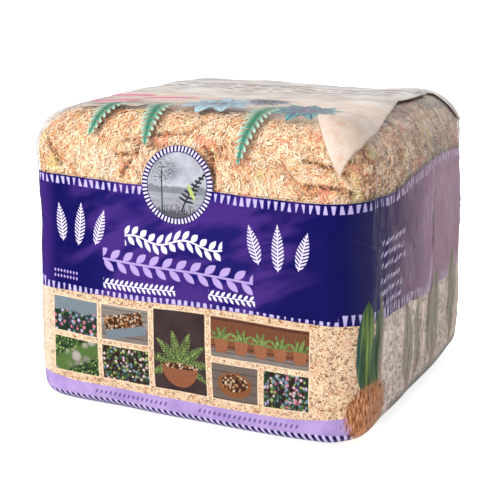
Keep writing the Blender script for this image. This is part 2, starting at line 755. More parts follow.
def wedge_ticks(paint, along, depth, seed):
    """Irregular wedge-shaped ticks. depth runs from 0 at the border's edge to 1 at the ticks' ends."""
    place = along / TICK_PITCH
    each = place.floor()
    lean = paint.chance(each + seed) - 0.5
    flare = (paint.chance(each + seed + 31.7) > 0.5) * 2 - 1
    wide = paint.chance(each + seed + 57.1) * 0.12
    middle = depth - 0.5
    half = wide + 0.14 + middle * flare * 0.20
    offset = place.fract() - 0.5 + lean * middle * 0.35
    return (half - abs(offset)).step(-0.05, 0.05) * depth.above(0.04, 0.05) * depth.below(1.0, 0.05)


def printed_moss(paint, plan):
    """Fine curled strands in print: light threads on tan with dark gaps."""
    flat = plan.point()
    warp = paint.noise(flat, 0.45, 2.0, 0.6, output=1)
    bent = paint.node("VectorMath", {"operation": "SCALE"}, {0: warp, "Scale": 3.0})
    bent = paint.node("VectorMath", {"operation": "ADD"}, {0: flat, 1: bent})
    specks = paint.noise(bent, 1.9, 2.0, 0.7, 1.2)
    broad = paint.noise(flat, 0.07, 2.0)
    curl = abs(paint.noise(bent, 0.50, 2.0, 0.6) - 0.5)
    other = abs(paint.noise(bent, 0.83, 2.0, 0.6, 0.5) - 0.5)
    warm = paint.noise(flat, 0.22, 3.0, 0.65)
    stops = [(0.015, PRINT_LIGHT), (0.05, PRINT_MID), (0.09, tone(168, 122, 84)), (0.16, PRINT_DARK)]
    return paint.layers(
        paint.ramp(curl, stops),
        (other.below(0.026, 0.022) * 0.85, tone(234, 212, 184)),
        (specks.below(0.40, 0.035) * 0.7, PRINT_DARK),
        (specks.above(0.57, 0.04) * 0.7, PRINT_LIGHT),
        (broad.step(0.5, 0.75) * 0.35, tone(232, 190, 150), "MULTIPLY"),
        (warm.step(0.50, 0.68) * 0.55, tone(232, 184, 144), "MULTIPLY"),
        (plan.x.step(-68, -79) * 0.55, tone(206, 194, 178)),
    )


def foliage(plan, scale, tints, dark):
    """A thicket of small leaves in a few tints on a dark ground."""
    paint, flat = plan.paint, plan.point()
    red = paint.node("SeparateColor", None, {0: paint.cells(flat, scale, "Color")})
    stops = [(n / (len(tints) - 1), tint) for n, tint in enumerate(tints)]
    gap = paint.cells(flat, scale, "Distance").step(0.30, 0.62)
    return paint.mix(gap, paint.ramp(red, stops, "CONSTANT"), dark)


def planks(plan, pitch, light, dark):
    """Boards with grain, running along x."""
    paint, board = plan.paint, plan.y / pitch
    shade = paint.chance(board.floor() + 3.0) * 0.5 + plan.streaks(0.12, 1.6, 3.0, 0.7) * 0.6
    return paint.layers(dark, (shade, light), (board.off_middle().above(0.46, 0.02) * 0.8, BARK))


# The pictures are printed darker than the moss round them
PICTURE_SHADE = (0.68,) * 3


def pictures(paint, colour, plan):
    """Small garden pictures in the lower print: a fern in a pot, seedlings, beds, trays and paths."""
    flat = plan.point()
    grass = plan.streaks(1.7, 0.28, 3.0, 0.75)
    greens = paint.ramp(grass, [(0.34, LEAF_DARK), (0.46, LEAF_GREEN), (0.62, LEAF_PALE), (0.82, TEAL_PALE)])
    bed = foliage(plan, 0.62, [LEAF_GREEN, SLATE, TEAL_DARK, PETAL_PALE, LEAF_PALE, SLATE_DARK], BARK)
    blooms = foliage(plan, 0.50, [PETAL, LEAF_GREEN, PALE, PLUM, SLATE, LEAF_GREEN], LEAF_DARK)
    chips = foliage(plan, 0.75, [RUST, PRINT_MID, PRINT_LIGHT, tone(196, 120, 62)], EARTH)
    clover = foliage(plan, 0.95, [LEAF_PALE, LEAF_GREEN, tone(190, 198, 84)], LEAF_DARK)
    stones = [tone(150, 140, 132), tone(186, 176, 168), tone(116, 106, 102)]
    boards = planks(plan, 4.5, tone(176, 166, 158), tone(96, 80, 74))
    fine = paint.noise(flat, 1.3, 3.0, 0.7)

    # A meadow under a sky, a leaning tray of chips and a path of stones
    hill = paint.noise(paint.join(plan.x, 0.0), 0.10, 2.0) * 7.0 + 45.5
    meadow = paint.mix((plan.y - hill).step(-0.8, 0.8), blooms, tone(128, 142, 150))
    leaning = plan.at(-30.5, 46.5).turned(13)
    tray = paint.layers(
        boards,
        (leaning.box(-11, 11, -1.5, 5.5, 0.4), chips),
        (leaning.box(-11.5, 11.5, -6.0, -1.5, 0.3), tone(126, 138, 150)),
    )
    paving = plan.at(-59, 26).turned(28).box(-30, 30, -4.2, 4.2, 0.8)
    path = paint.mix(paving, clover, foliage(plan, 0.17, stones, LEAF_GREEN))

    # A fern in a round pot
    spot = plan.at(-0.3, 31.0)
    fan = spot.fan(11, 0.2)
    comb = ((fan.x - abs(fan.y) * 0.8) / 1.5).off_middle().below(0.30, 0.12)
    fronds = fan.leaf(0.0, 17.0, 2.3) * comb.most(abs(fan.y).below(0.3, 0.15))
    tub = spot.at(0, -1.0).oval(9.5, 10.5, 0.03) * spot.y.below(-1.0, 0.2)
    fern = paint.layers(
        paint.mix(paint.noise(flat, 0.12, 2.0), tone(44, 32, 32), tone(92, 70, 72)),
        (fronds * (spot.y + abs(spot.x) * 0.5).above(-1.0, 0.6), greens),
        (tub, paint.mix(fine, tone(96, 52, 36), tone(196, 122, 82))),
        (spot.at(0, -1.0).oval(9.8, 1.5), chips),
    )

    # Seedlings in a row of pots on a shelf
    each = plan.at(17.0, 0.0).row(9.6)
    pot = (2.9 + (each.y - 43.0) * 0.16 - abs(each.x)).step(-0.2, 0.2)
    pot = pot * each.y.above(40.5, 0.2) * each.y.below(46.5, 0.2)
    sprout = Flat(paint, each.x, each.y - 46.5).fan(10, 0.3).leaf(0.2, 6.2, 0.8) * each.y.above(46.3, 0.3)
    wood = planks(plan, 6.2, tone(164, 98, 62), tone(84, 50, 40))
    shelf = paint.layers(
        wood,
        (plan.y.below(42.0, 0.3), boards),
        (sprout, greens),
        (pot, paint.mix(fine, tone(120, 66, 44), tone(206, 132, 90))),
    )

    # A bowl of chips, and flowers in rows
    dish = plan.at(28.0, 25.5)
    bowl = paint.layers(
        boards,
        (0.5, EARTH),
        (dish.oval(8.6, 6.2, 0.05), tone(150, 92, 54)),
        (dish.at(0, 1.0).oval(6.6, 4.2, 0.06), chips),
    )
    rows = paint.mix(plan.row(5.0).x.above(0.6, 0.5), bed, blooms)

    for left, right, low, high, picture in (
        (-72.0, -46.0, 38.0, 55.5, meadow),
        (-43.5, -17.0, 38.0, 55.5, tray),
        (-72.0, -46.0, 17.5, 35.0, path),
        (-43.5, -17.0, 17.5, 35.0, bed),
        (-14.0, 13.5, 17.5, 57.0, fern),
        (16.5, 64.5, 38.0, 57.0, shelf),
        (16.5, 39.5, 17.5, 35.0, bowl),
        (42.5, 64.5, 17.5, 35.0, rows),
    ):
        colour = paint.layers(
            colour,
            (plan.box(left - 0.5, right + 0.5, low - 0.5, high + 0.5) * 0.8, PRINT_LIGHT),
            (plan.box(left, right, low, high), paint.mix(1.0, picture, PICTURE_SHADE, "MULTIPLY")),
        )
    grain = paint.noise(flat, 1.7, 3.0, 0.75).step(0.30, 0.68)
    return paint.mix(1.0, colour, paint.mix(grain, (0.60,) * 3, (1.16,) * 3), "MULTIPLY")


def badge(paint, colour, plan):
    """Ring of ticks round a grey view of reeds and a fern by water. Returns the colour and its mask."""
    spot = plan.at(BADGE_X, BADGE_Z)
    flat = plan.point()
    sky = paint.mix(paint.noise(flat, 0.16, 3.0, 0.6), tone(106, 110, 122), tone(200, 202, 210))
    water = paint.mix(plan.streaks(0.12, 1.1, 2.0, 0.6), tone(84, 86, 94), tone(172, 174, 182))
    hill = paint.noise(paint.join(plan.x, 0.0), 0.16, 2.0) * 5.0
    tuft = plan.streaks(1.3, 0.2, 2.0, 0.8) * 16.0
    bush = paint.noise(flat, 1.1, 2.0, 0.7).below(0.5, 0.05) * spot.at(-7.5, 6.5).oval(7.5, 6.0, 0.5)
    frond = spot.at(3.0, -12.0).turned(72)
    drooped = Flat(paint, frond.x, frond.y + frond.x * frond.x * 0.012)
    leaflet = (0.55 - abs(drooped.row(2.1).x + abs(drooped.y) * -0.25)).step(-0.2, 0.2)
    leaflet = leaflet * abs(drooped.y).below((24.0 - frond.x) * 0.22, 0.4)
    leaflet = leaflet * frond.x.above(4.0, 0.5) * frond.x.below(24.0, 0.5)
    stem = abs(drooped.y).below(0.42, 0.15) * frond.x.above(0.0, 0.4) * frond.x.below(24.0, 0.5)
    shoot = spot.at(5.5, 1.5).turned(-62).leaf(0.0, 9.5, 0.9)
    radius = spot.radius()
    dash = 0.26 - ((spot.angle() / (2 * math.pi)) * BADGE_DASHES).off_middle()
    dash = dash.step(-0.06, 0.06) * radius.above(BADGE_RADIUS - 2.7, 0.2)
    inside = radius.below(BADGE_RADIUS, 0.2)
    picture = paint.layers(
        sky,
        (spot.y.below(-3.5, 0.5), water),
        ((hill - spot.y - 3.0).step(-0.4, 0.4) * spot.y.above(-3.6, 0.3) * 0.8, tone(96, 98, 104)),
        ((tuft - spot.y - 19.0).step(-0.6, 0.6) * 0.9, tone(62, 64, 68)),
        (bush * 0.8, tone(66, 68, 74)),
        (spot.line((-7.0, -14.0), (-8.0, 8.0), 0.35), tone(52, 54, 60)),
        (leaflet.most(stem), tone(40, 42, 48)),
        (shoot * 0.9, tone(168, 182, 98)),
        (radius.above(BADGE_RADIUS - 3.1, 0.2), NAVY),
        (dash * radius.below(BADGE_RADIUS - 0.25, 0.2), PALE),
    )
    return paint.mix(inside, colour, picture), inside


# Fern fronds at both ends of the front's band: foot, direction in degrees, length
BAND_FRONDS = [
    ((-66.0, 83.0), 96, 19.0),
    ((-57.0, 82.0), 84, 21.0),
    ((-47.0, 83.5), 72, 18.0),
    ((40.0, 84.0), 106, 18.0),
    ((49.5, 82.0), 92, 21.0),
    ((59.0, 83.5), 76, 18.0),
]


def garlands(paint, colour, plan):
    """Rows of leaves on the band, fern fronds at its ends and a block of dots."""
    upper = plan.at(-3.5, 89.0)
    swung = Flat(paint, upper.x, upper.y - (upper.x * 0.22).sine() * 1.6)
    main = plan.at(-2.5, 76.2)
    tilted = Flat(paint, main.x, main.y - main.x * -0.035)
    leaves = swung.sprigs(4.6, (-1.2, 0.3), 52, 5.6, 1.25, 0.38) * upper.box(-26, 26, -7, 7)
    big = tilted.sprigs(7.4, (-2.4, 0.5), 40, 7.4, 1.7, 0.5) * tilted.box(-40, 40, -6, 6)
    colour = paint.layers(colour, (leaves, WHITE), (big, LAVENDER))
    for x, y, half in ((-22.0, 66.0, 20.0), (27.0, 66.5, 11.5)):
        small = plan.at(x, y)
        sprig = small.sprigs(2.8, (-0.9, 0.1), 50, 3.2, 0.62, 0.22, 0.1)
        colour = paint.mix(sprig * small.box(-half, half, -3, 3), colour, WHITE)
    colour = paint.layers(colour, *((plan.frond(*facts), PALE) for facts in BAND_FRONDS))
    dots = plan.at(-64.5, 66.8)
    cell = Flat(paint, dots.row(1.9).x, ((dots.y / 2.6).fract() - 0.5) * 2.6)
    return paint.mix(cell.oval(0.5, 0.75) * dots.box(-7.5, 7.5, -2.6, 2.6), colour, LAVENDER)


def side_garlands(paint, colour, run):
    """Small rows of leaves on the side's band: each one's height and half length."""
    spot = run.at(118.0, 78.0)
    for height, half in ((15.0, 16.0), (9.5, 15.0), (4.0, 16.0), (-3.0, 12.0), (-8.5, 14.0), (-14.0, 13.0)):
        near = spot.at(-16 + half, height)
        sprig = near.row(3.1).turned(50).leaf(-1.9, 4.0, 0.62)
        colour = paint.mix(sprig * near.box(-half, half, -2.2, 2.2) * 0.75, colour, PALE)
    return colour


# Broad blades at the corner and along the sides: girth, foot, length, half width, direction in degrees
FRESH_BLADES = [(97.4, 22.0, 43.0, 4.6, 84.0), (91.2, 22.0, 46.0, 5.7, 91.5)]
WORN_BLADES = [
    (103.8, 26.0, 44.0, 2.6, 91.0),
    (141.0, 8.0, 47.0, 7.0, 93.0),
    (152.5, 10.0, 46.0, 4.6, 87.0),
    (180.0, 8.0, 54.0, 7.5, 88.0),
    (212.0, 10.0, 57.0, 7.0, 92.0),
]


def shoots(paint, colour, run):
    """Blades that rise from a ragged heap of roots at the corner, and faded ones along the side."""
    streak = run.streaks(0.7, 0.03)
    greens = [(0.32, tone(30, 54, 44)), (0.50, tone(56, 82, 44)), (0.74, tone(132, 156, 76))]
    greys = [(0.30, tone(88, 86, 80)), (0.50, tone(124, 118, 100)), (0.72, tone(172, 162, 132))]
    fresh, worn = paint.ramp(streak, greens), paint.ramp(streak, greys)
    for x, foot, length, half, degrees in FRESH_BLADES:
        spot = run.at(x, foot).turned(degrees)
        tint = paint.mix((spot.y / half).step(0.2, 1.0) * 0.6, fresh, tone(46, 84, 84))
        colour = paint.mix(spot.blade(length, half), colour, tint)
    for x, foot, length, half, degrees in WORN_BLADES:
        spot = run.at(x, foot).turned(degrees)
        tint = paint.mix(spot.x.below(9.0, 5.0) * 0.8, worn, tone(150, 108, 88))
        colour = paint.mix(spot.blade(length, half, 1.2) * 0.8, colour, tint)
    root = run.streaks(0.9, 0.25, 3.0, 0.7)
    soil = paint.ramp(root, [(0.34, EARTH), (0.48, tone(164, 98, 58)), (0.66, tone(214, 156, 110))])
    heap = ((run.at(95.5, 15.0).radius() / 15.5) + (root - 0.5) * 0.9).below(1.0, 0.12)
    heap = heap * (run.y + (root - 0.5) * 16.0).below(31.0, 2.5)
    return paint.mix(heap, colour, soil)


# Print under strong studio light looks lighter than its ink is
INK_SHARE = (0.66,) * 3


def film_surface(paint, printed, opacity, roughness, normal):
    """Clear film that shows what is under it, mixed with the print where the ink covers."""
    facing = paint.node("LayerWeight", None, {"Blend": 0.5, "Normal": normal}, 1)
    gloss = {"Color": (1.0, 1.0, 1.0), "Roughness": 0.16, "Normal": normal}
    window = {1: paint.node("BsdfTransparent"), 2: paint.node("BsdfAnisotropic", None, gloss)}
    window = paint.node("MixShader", None, {0: facing.power(5.0) * 0.75 + 0.025, **window})
    printed = paint.mix(1.0, printed, INK_SHARE, "MULTIPLY")
    inked = {"Base Color": printed, "Roughness": roughness, "Normal": normal, "Specular IOR Level": 0.30}
    ink = paint.node("BsdfPrincipled", None, inked)
    if opacity == 1.0:
        return paint.surface(ink)
    return paint.surface(paint.node("MixShader", None, {0: opacity, 1: window, 2: ink}))


# Creases in the film: start, end, half width
FRONT_CREASES = [((-84.0, 92.0), (-72.0, 108.0), 0.5), ((-66.0, 76.0), (-40.0, 112.0), 0.3)]
SIDE_CREASES = [
    ((101.0, 84.0), (134.0, 101.0), 0.9),
    ((134.0, 100.0), (196.0, 116.0), 0.9),
    ((97.0, 92.0), (124.0, 108.0), 0.7),
    ((128.0, 66.0), (131.0, 104.0), 0.6),
    ((136.0, 76.0), (139.0, 110.0), 0.6),
    ((84.0, 66.0), (104.0, 73.0), 0.8),
    ((80.0, 98.0), (104.0, 88.0), 0.9),
]


class Wrap:
    """What the wrap's three materials share: their coordinates and the band's edges and ink."""

    def __init__(self, name):
        self.paint = paint = Paint(name)
        self.whole = paint.print_place()
        self.across, self.climb = self.whole.x, self.whole.y
        self.run = abs(self.across)
        behind = self.run > HALF_ROUND / 2
        self.face_x = self.across - behind * ((self.across > 0) * 2 - 1) * HALF_ROUND
        self.plan = Flat(paint, self.face_x, self.climb)
        self.near = abs(self.face_x)
        tilt = self.face_x * -0.017 * self.near.below(90, 10)
        self.top = trace(paint, self.run, BAND_TOP_LINE) + tilt
        self.base = trace(paint, self.run, BAND_BASE_LINE) - tilt * 0.6
        self.band = self.climb.above(self.base, 0.15) * self.climb.below(self.top, 0.15)

    def ink(self):
        """Indigo with soft violet patches, navy towards the corners."""
        glow = self.plan.turned(24).streaks(0.030, 0.10, 2.0, 0.5, 0.4)
        violet = (glow + self.near.step(60, 30) * 0.10).step(0.46, 0.68) * self.near.step(74, 46)
        violet = violet.most(self.face_x.step(-68, -80) * 0.8)
        return self.paint.layers(INDIGO, (self.near.step(20, 62) * 0.8, NAVY), (violet * 0.9, VIOLET))

    def upper_ticks(self):
        return wedge_ticks(self.paint, self.across, (self.top - 0.7 - self.climb) / 3.9, 0.0)

    def lower_ticks(self):
        return wedge_ticks(self.paint, self.across + 1.3, (self.climb - self.base) / 4.9, 11.0)

    def strip(self, ground):
        """Lavender strip at the foot with a row of dark ticks."""
        paint = self.paint
        strip_top = trace(paint, self.near, [(0, 13.0), (60, 13.2), (84, 15.5), (200, 16.0)])
        strip = self.climb.below(strip_top, 0.2) * self.near.below(85.5, 0.25)
        cloud = paint.noise(self.whole.point(), 0.08, 2.0).step(0.3, 0.7)
        sprig = self.plan.at(0, 9.6).row(2.6).turned(60).leaf(-1.3, 2.8, 0.5)
        rows = self.plan.box(-50, -8, 7.8, 11.4).most(self.plan.box(8, 60, 7.8, 11.4))
        ticks = (0.26 - ((self.across + self.climb * 0.3) / TICK_PITCH).off_middle()).step(-0.05, 0.05)
        edging = self.climb.below(6.6, 0.3)
        colour = paint.layers(
            paint.mix(cloud, tone(144, 118, 176), tone(166, 142, 192)),
            (sprig * rows * 0.75, INDIGO),
            (edging * 0.6, PALE),
            (edging * ticks, NAVY),
        )
        return paint.mix(strip, ground, colour)

    def film(self, colour, opacity, roughness=0.24, fine=0.0, place=None, creases=()):
        """The film with its ink, its soft dents, a finer upright ripple and creases."""
        dents = self.whole.streaks(0.05, 0.11, 2.0, 0.5, 0.5)
        height = dents * 1.2 + self.whole.streaks(0.30, 0.035, 3.0, 0.6) * fine
        for start, end, width in creases:
            height = height + place.line(start, end, width, 0.9) * 0.8
        return film_surface(self.paint, colour, opacity, roughness, self.paint.bump(height, 0.45 * MM, 0.6))


def front_high_paint():
    """Front, from the middle of the band up: garlands, badge, ticks and the clear window."""
    wrap = Wrap("printed_film")
    paint = wrap.paint
    on_front = wrap.run.below(HALF_ROUND / 2)
    plain = paint.mix(wrap.upper_ticks(), garlands(paint, wrap.ink(), wrap.plan), TICK)
    badged, seal = badge(paint, plain, wrap.plan)
    opacity = wrap.band.most(seal * on_front).most(0.02)
    colour = paint.layers(plain, (on_front, badged), (opacity.below(0.6, 0.1), HAZE))
    return wrap.film(colour, opacity, place=wrap.plan, creases=FRONT_CREASES)


def front_low_paint():
    """Front, below the middle of the band: ticks, printed moss, pictures and the strip at the foot."""
    wrap = Wrap("printed_film_low")
    paint = wrap.paint
    ground = wrap.strip(pictures(paint, printed_moss(paint, wrap.plan), wrap.plan))
    band = paint.mix(wrap.lower_ticks(), wrap.ink(), TICK)
    return wrap.film(paint.mix(wrap.band, ground, band), 1.0, 0.28)


def side_paint():
    """Corners and sides: the band worn to mauve, blades over mottled ground, streaks on the window."""
    wrap = Wrap("printed_film_side")
    paint = wrap.paint
    climb, near = wrap.climb, wrap.near
    side_run = Flat(paint, wrap.run - (wrap.across < 0) * 14.0, climb)
    to_back = wrap.run.step(240, 224)
    far_side = wrap.run.step(118, 190) * to_back
    soft_side = wrap.run.step(88, 140) * to_back
    cloudy = wrap.whole.streaks(0.05, 0.035, 3.0, 0.6)
    streaky = wrap.whole.streaks(0.42, 0.03, 3.0, 0.65)
    worn = soft_side * ((streaky - 0.5) * 1.2 + (cloudy - 0.5) + 0.50)
    ink = paint.layers(wrap.ink(), (worn, MAUVE), (far_side * 0.8, tone(166, 132, 148)))
    lines = abs(streaky - 0.5).below(0.02, 0.015) * cloudy.step(0.45, 0.6)
    tick_tint = paint.mix(soft_side * 0.75, TICK, tone(182, 160, 178))
    ink = paint.layers(
        side_garlands(paint, ink, side_run),
        (lines * soft_side * 0.35, tone(196, 180, 200)),
        (wrap.upper_ticks().most(wrap.lower_ticks()), tick_tint),
    )

    mottle = paint.noise(wrap.whole.point(), 0.34, 4.0, 0.75)
    grey = paint.layers(
        tone(126, 108, 94),
        (mottle.step(0.36, 0.62), tone(220, 202, 190)),
        (streaky.step(0.42, 0.72) * 0.65, tone(230, 216, 210)),
    )
    ground = wrap.strip(paint.mix(near.step(90, 104), printed_moss(paint, wrap.plan), grey))
    shadow = wrap.run.step(112, 124) * to_back * climb.below(9.0, 4.0) * 0.9
    ground = paint.mix(shadow, ground, tone(48, 38, 34))
    colour = shoots(paint, paint.mix(wrap.band, ground, ink), side_run)
    crease = side_run.line((168.0, 12.0), (176.5, 116.0), 0.8, 0.9)
    hollow = side_run.line((171.5, 12.0), (180.0, 116.0), 1.4, 0.9)
    opacity = climb.below(wrap.top, 0.2).most(far_side * (streaky.step(0.40, 0.78) * 0.24 + 0.06) + 0.02)
    colour = paint.layers(
        colour,
        (crease * 0.55, tone(206, 192, 204)),
        (hollow * 0.55, tone(72, 60, 68)),
        (opacity.below(0.6, 0.1), HAZE),
    )
    worn_film = near.step(78, 104)
    return wrap.film(colour, opacity, worn_film * 0.06 + 0.24, worn_film * 1.2, side_run, SIDE_CREASES)


# Where the haze of the top film begins towards the front: (across, along)
HAZE_EDGE = [(-76, 176), (-50, 168), (-10, 156), (20, 158), (40, 152), (60, 147), (76, 142)]


def top_paint(name, whole):
    """Film over the top: hazy white, clearer towards the front, with printed plants along its front edge."""
    paint = Paint(name)
    plan = paint.print_place()
    across, along = plan.x, plan.y
    flat = plan.point()
    broad = paint.noise(flat, 0.045, 3.0, 0.6)
    folds = plan.streaks(0.02, 0.12, 2.0, 0.5, 0.6)
    cream = along.below(200, 16) * (across.below(-20, 30) * 0.35 + 0.55)
    cream = cream + folds.step(0.5, 0.72) * along.below(185, 12) * 0.5
    colour = paint.layers(HAZE, (broad.step(0.35, 0.7), CLOUD), (cream, PINK_HAZE))
    if whole:
        opacity = 0.90 + broad * 0.08
        streak = plan.turned(3).row(9.0).box(-3.2, 3.2, 240.0, 243.0, 0.5)
        streak = streak * paint.noise(flat, 0.12, 2.0).above(0.45, 0.05)
        colour = paint.mix(streak * 0.8, colour, tone(120, 96, 104))
    else:
        front = along + (folds - 0.5) * 14.0 - trace(paint, across, HAZE_EDGE)
        haze = front.step(-8.0, 16.0) * 0.55 + front.step(12.0, 44.0) * 0.41
        slope = (along - 125.7) * 0.62
        wedge = (across + slope - 77.5).step(-0.4, 0.4) * along.below(180, 10) * (broad * 0.5 + 0.42)
        left_wedge = (slope - across - 77.5).step(-0.4, 0.4) * along.below(180, 10) * 0.08
        mottle = paint.noise(flat, 0.16, 4.0, 0.7).step(0.46, 0.66) * along.below(206, 26)
        colour = paint.layers(
            colour,
            (wedge * along.below(165, 15) * 0.75, tone(232, 212, 198)),
            (mottle * 0.55, tone(216, 170, 142)),
        )
        colour, plants = top_plants(paint, colour, plan)
        tilted = plan.turned(-2)
        line = tilted.y / 6.5
        dash = ((tilted.x + paint.chance(line.floor()) * 17) / 12.0).fract().above(0.22, 0.05)
        breaks = paint.noise(paint.join(across * 0.07, line.floor()), 1.0, 2.0).above(0.42, 0.04)
        marks = dash * line.off_middle().below(0.10, 0.05) * breaks * plan.box(-66, 66, 234, 264)
        colour = paint.mix(marks * 0.9, colour, tone(66, 44, 52))
        opacity = haze.most(wedge).most(left_wedge) * along.step(124.0, 127.0)
        opacity = opacity.most(plants).most(marks * 0.9)
    normal = paint.bump(paint.noise(flat, 0.22, 3.0, 0.6) + folds * 2.0, 0.5 * MM, 0.5)
    return film_surface(paint, colour, opacity, 0.26, normal)


def hanging(paint, plan, top, length, lean, pitch=3.2):
    """A hanging frond of plump paired leaves, dark at the stem and pale at the tips: its mask and colour."""
    stem = plan.at(*top).turned(lean - 90)
    off = abs(stem.y)
    cell = abs(((stem.x - off * 0.75) / pitch).fract() - 0.5)
    room = (length - stem.x).power(0.5) * (6.6 / length**0.5)
    round_end = (off / room).power(2.0) * 0.24
    leaves = (0.44 - round_end - cell).step(-0.06, 0.06) * (room - off).step(-0.2, 0.2)
    shape = leaves.most(off.below(0.5, 0.2)) * stem.x.above(0.0, 0.4) * stem.x.below(length, 0.3)
    pale = (off / room).step(0.0, 0.9) * (0.62 - cell)
    return shape, paint.layers(TEAL_DARK, (pale, TEAL_PALE), (cell.step(0.30, 0.46) * 0.7, TEAL_DARK))


def blossom(paint, plan, centre, radius, dark, mid, pale):
    """A star-shaped flower of three rings of pointed petals: each ring's mask and colour."""
    spot = plan.at(*centre)
    for ring, (count, share) in enumerate(((9, 1.0), (8, 0.72), (6, 0.44))):
        petal = spot.fan(count, 0.35 * ring)
        reach = radius * share
        out = petal.x / reach
        rib = abs(petal.y).below(0.35, 0.3)
        rim = petal.leaf(reach * 0.08, reach, reach * 0.21, 0.4).below(0.5, 0.4)
        coats = ((out.step(0.15, 0.9), mid), ((1 - rib) * out.step(0.5, 1.0) * 0.6, pale), (rim * 0.5, dark))
        yield petal.leaf(reach * 0.08, reach, reach * 0.26, 0.25), paint.layers(dark, *coats)


# Plants over the front shoulder: (top, length, lean), (centre, radius, colours), (x, y, direction, length)
HANGING = [((-46.0, 160.0), 24.0, -8.0), ((-22.0, 163.0), 30.0, 6.0), ((33.0, 166.0), 38.0, -5.0)]
BLOSSOMS = [
    ((4.0, 168.0), 17.0, SLATE_DARK, SLATE, SLATE_PALE),
    ((50.0, 166.0), 16.0, PLUM, SLATE_DARK, TEAL),
    ((24.0, 182.0), 12.0, LEAF_DARK, PLUM, SLATE_PALE),
]
PETALS = [(-64.0, 168.0, 8.0, 30.0), (-70.0, 188.0, 20.0, 30.0), (-44.0, 182.0, 4.0, 34.0)]


def top_plants(paint, colour, plan):
    """Printed plants over the front shoulder. Returns the colour and their mask."""
    plants = plan.x * 0
    printed = [hanging(paint, plan, *facts) for facts in HANGING]
    for facts in BLOSSOMS:
        printed.extend(blossom(paint, plan, *facts))
    for shape, shade in printed:
        colour = paint.mix(shape, colour, shade)
        plants = plants.most(shape)
    for x, y, turn, size in PETALS:
        petal = plan.at(x, y).turned(turn)
        shape = petal.leaf(-4.0, size, 6.4, 1.4)
        shade = paint.mix(abs(petal.y).step(0.5, 5.5), tone(208, 92, 124), PETAL_PALE)
        colour = paint.mix(shape, colour, shade)
        plants = plants.most(shape * 0.9)
    return colour, plants


# Pitch in metres of the ribs that the sealing bars press into a weld
RIB_PITCH = 0.0016


def seal_paint(name, opacity):
    """Welded film: cloudy, with fine cross ribs pressed by the sealing bars."""
    paint = Paint(name)
    across, _, _ = paint.split(paint.node("UVMap", {"uv_map": "Print"}))
    ribs = (across * (2 * math.pi / RIB_PITCH)).sine()
    cloud = paint.noise(paint.place(), 120.0, 3.0, 0.6)
    colour = paint.mix(cloud, tone(214, 206, 202), tone(240, 236, 234))
    normal = paint.bump(ribs * 0.5 + cloud, 0.25 * MM, 0.7)
    return film_surface(paint, colour, cloud * 0.2 + opacity, 0.3, normal)


# Where the wrap's materials meet, in the band's plain ink
SIDE_EDGE = 77.0
LOW_EDGE = 62.5


def build_wrap(materials):
    """The bag's tube of film: walls, turned under the base and in over the top's edges."""
    half = np.concatenate(
        [
            np.linspace(0, FRONT_FLAT, 48, endpoint=False),
            np.linspace(FRONT_FLAT, BACK_START, 150, endpoint=False),
            np.linspace(BACK_START, HALF_GIRTH, 37),
        ]
    )
    stations = np.concatenate([-half[:0:-1], half])
    climbs = np.concatenate(
        [
            np.linspace(BASE_END - (HALF_DEPTH - FOOT - 4 * MM), BASE_END, 9, endpoint=False),
            np.linspace(BASE_END, SHOULDER_START, 65, endpoint=False),
            np.linspace(SHOULDER_START, TOP_START + 26 * MM, 27),
        ]
    )

    def place(across, up):
        round_by = np.interp(across * (len(stations) - 1), np.arange(len(stations)), stations)
        climb = np.interp(up * (len(climbs) - 1), np.arange(len(climbs)), climbs)
        return on_block(round_by, climb, film_lift(round_by, climb)), together(round_by, climb)

    mesh = bend_grid("film_wrap", len(stations) - 1, len(climbs) - 1, place, closed=True)
    made = piece("film_wrap", mesh, materials, "printed_film", ["bag_body"], FILM)
    starts = read(mesh.polygons, "loop_start", kind=np.int32)
    flat = read(mesh.uv_layers["Print"].uv, "vector", 2)
    across, up = np.abs((flat[starts] + flat[starts + 2]).T) / 2 / MM
    low = np.where((flat[starts] + flat[starts + 2])[:, 1] / 2 / MM < LOW_EDGE, 1, 0)
    region = np.where(np.minimum(across, HALF_ROUND - across) > SIDE_EDGE, 2, low)
    mesh.polygons.foreach_set("material_index", region.astype(np.int32))
    return made


TOP_FLAT_X = HALF_WIDTH - SHOULDER


def over_top(across, along, lift):
    """A sheet pulled over the top from front to back. along is measured like the climb, up the front."""
    far_end = 2 * (TOP_START + HALF_DEPTH - SHOULDER)
    behind = along > far_end / 2
    inset, height, level, upright = profile(np.where(behind, far_end - along, along))
    side_turn = np.clip((np.abs(across) - TOP_FLAT_X) / SHOULDER, 0, 1.4)
    x = np.minimum(np.abs(across), TOP_FLAT_X) + np.sin(side_turn) * (SHOULDER + upright * lift)
    y = np.where(behind, 1.0, -1.0) * (HALF_DEPTH - inset + level * lift)
    z = height + upright * (lift - SHOULDER * (1 - np.cos(side_turn)))
    return settle(together(np.sign(across) * x, y, z))


# How far past the edge of the film under it a layer still follows that film
BRIDGE = 18 * MM


def lay_on(points, under, low, high):
    """Moves points along the normals of the mesh under them until they stand off between low and high."""
    tree = BVHTree.FromPolygons([v.co for v in under.vertices], [p.vertices for p in under.polygons])
    for index, (point, least, most) in enumerate(zip(points, low, high)):
        spot = Vector(point)
        near, normal, _, _ = tree.find_nearest(spot)
        off = (spot - near).dot(normal)
        aside = (spot - near - normal * off).length
        move = min(max(off, least), most) - off
        points[index] = spot + normal * move * max(0.0, 1 - aside / BRIDGE)
    return points


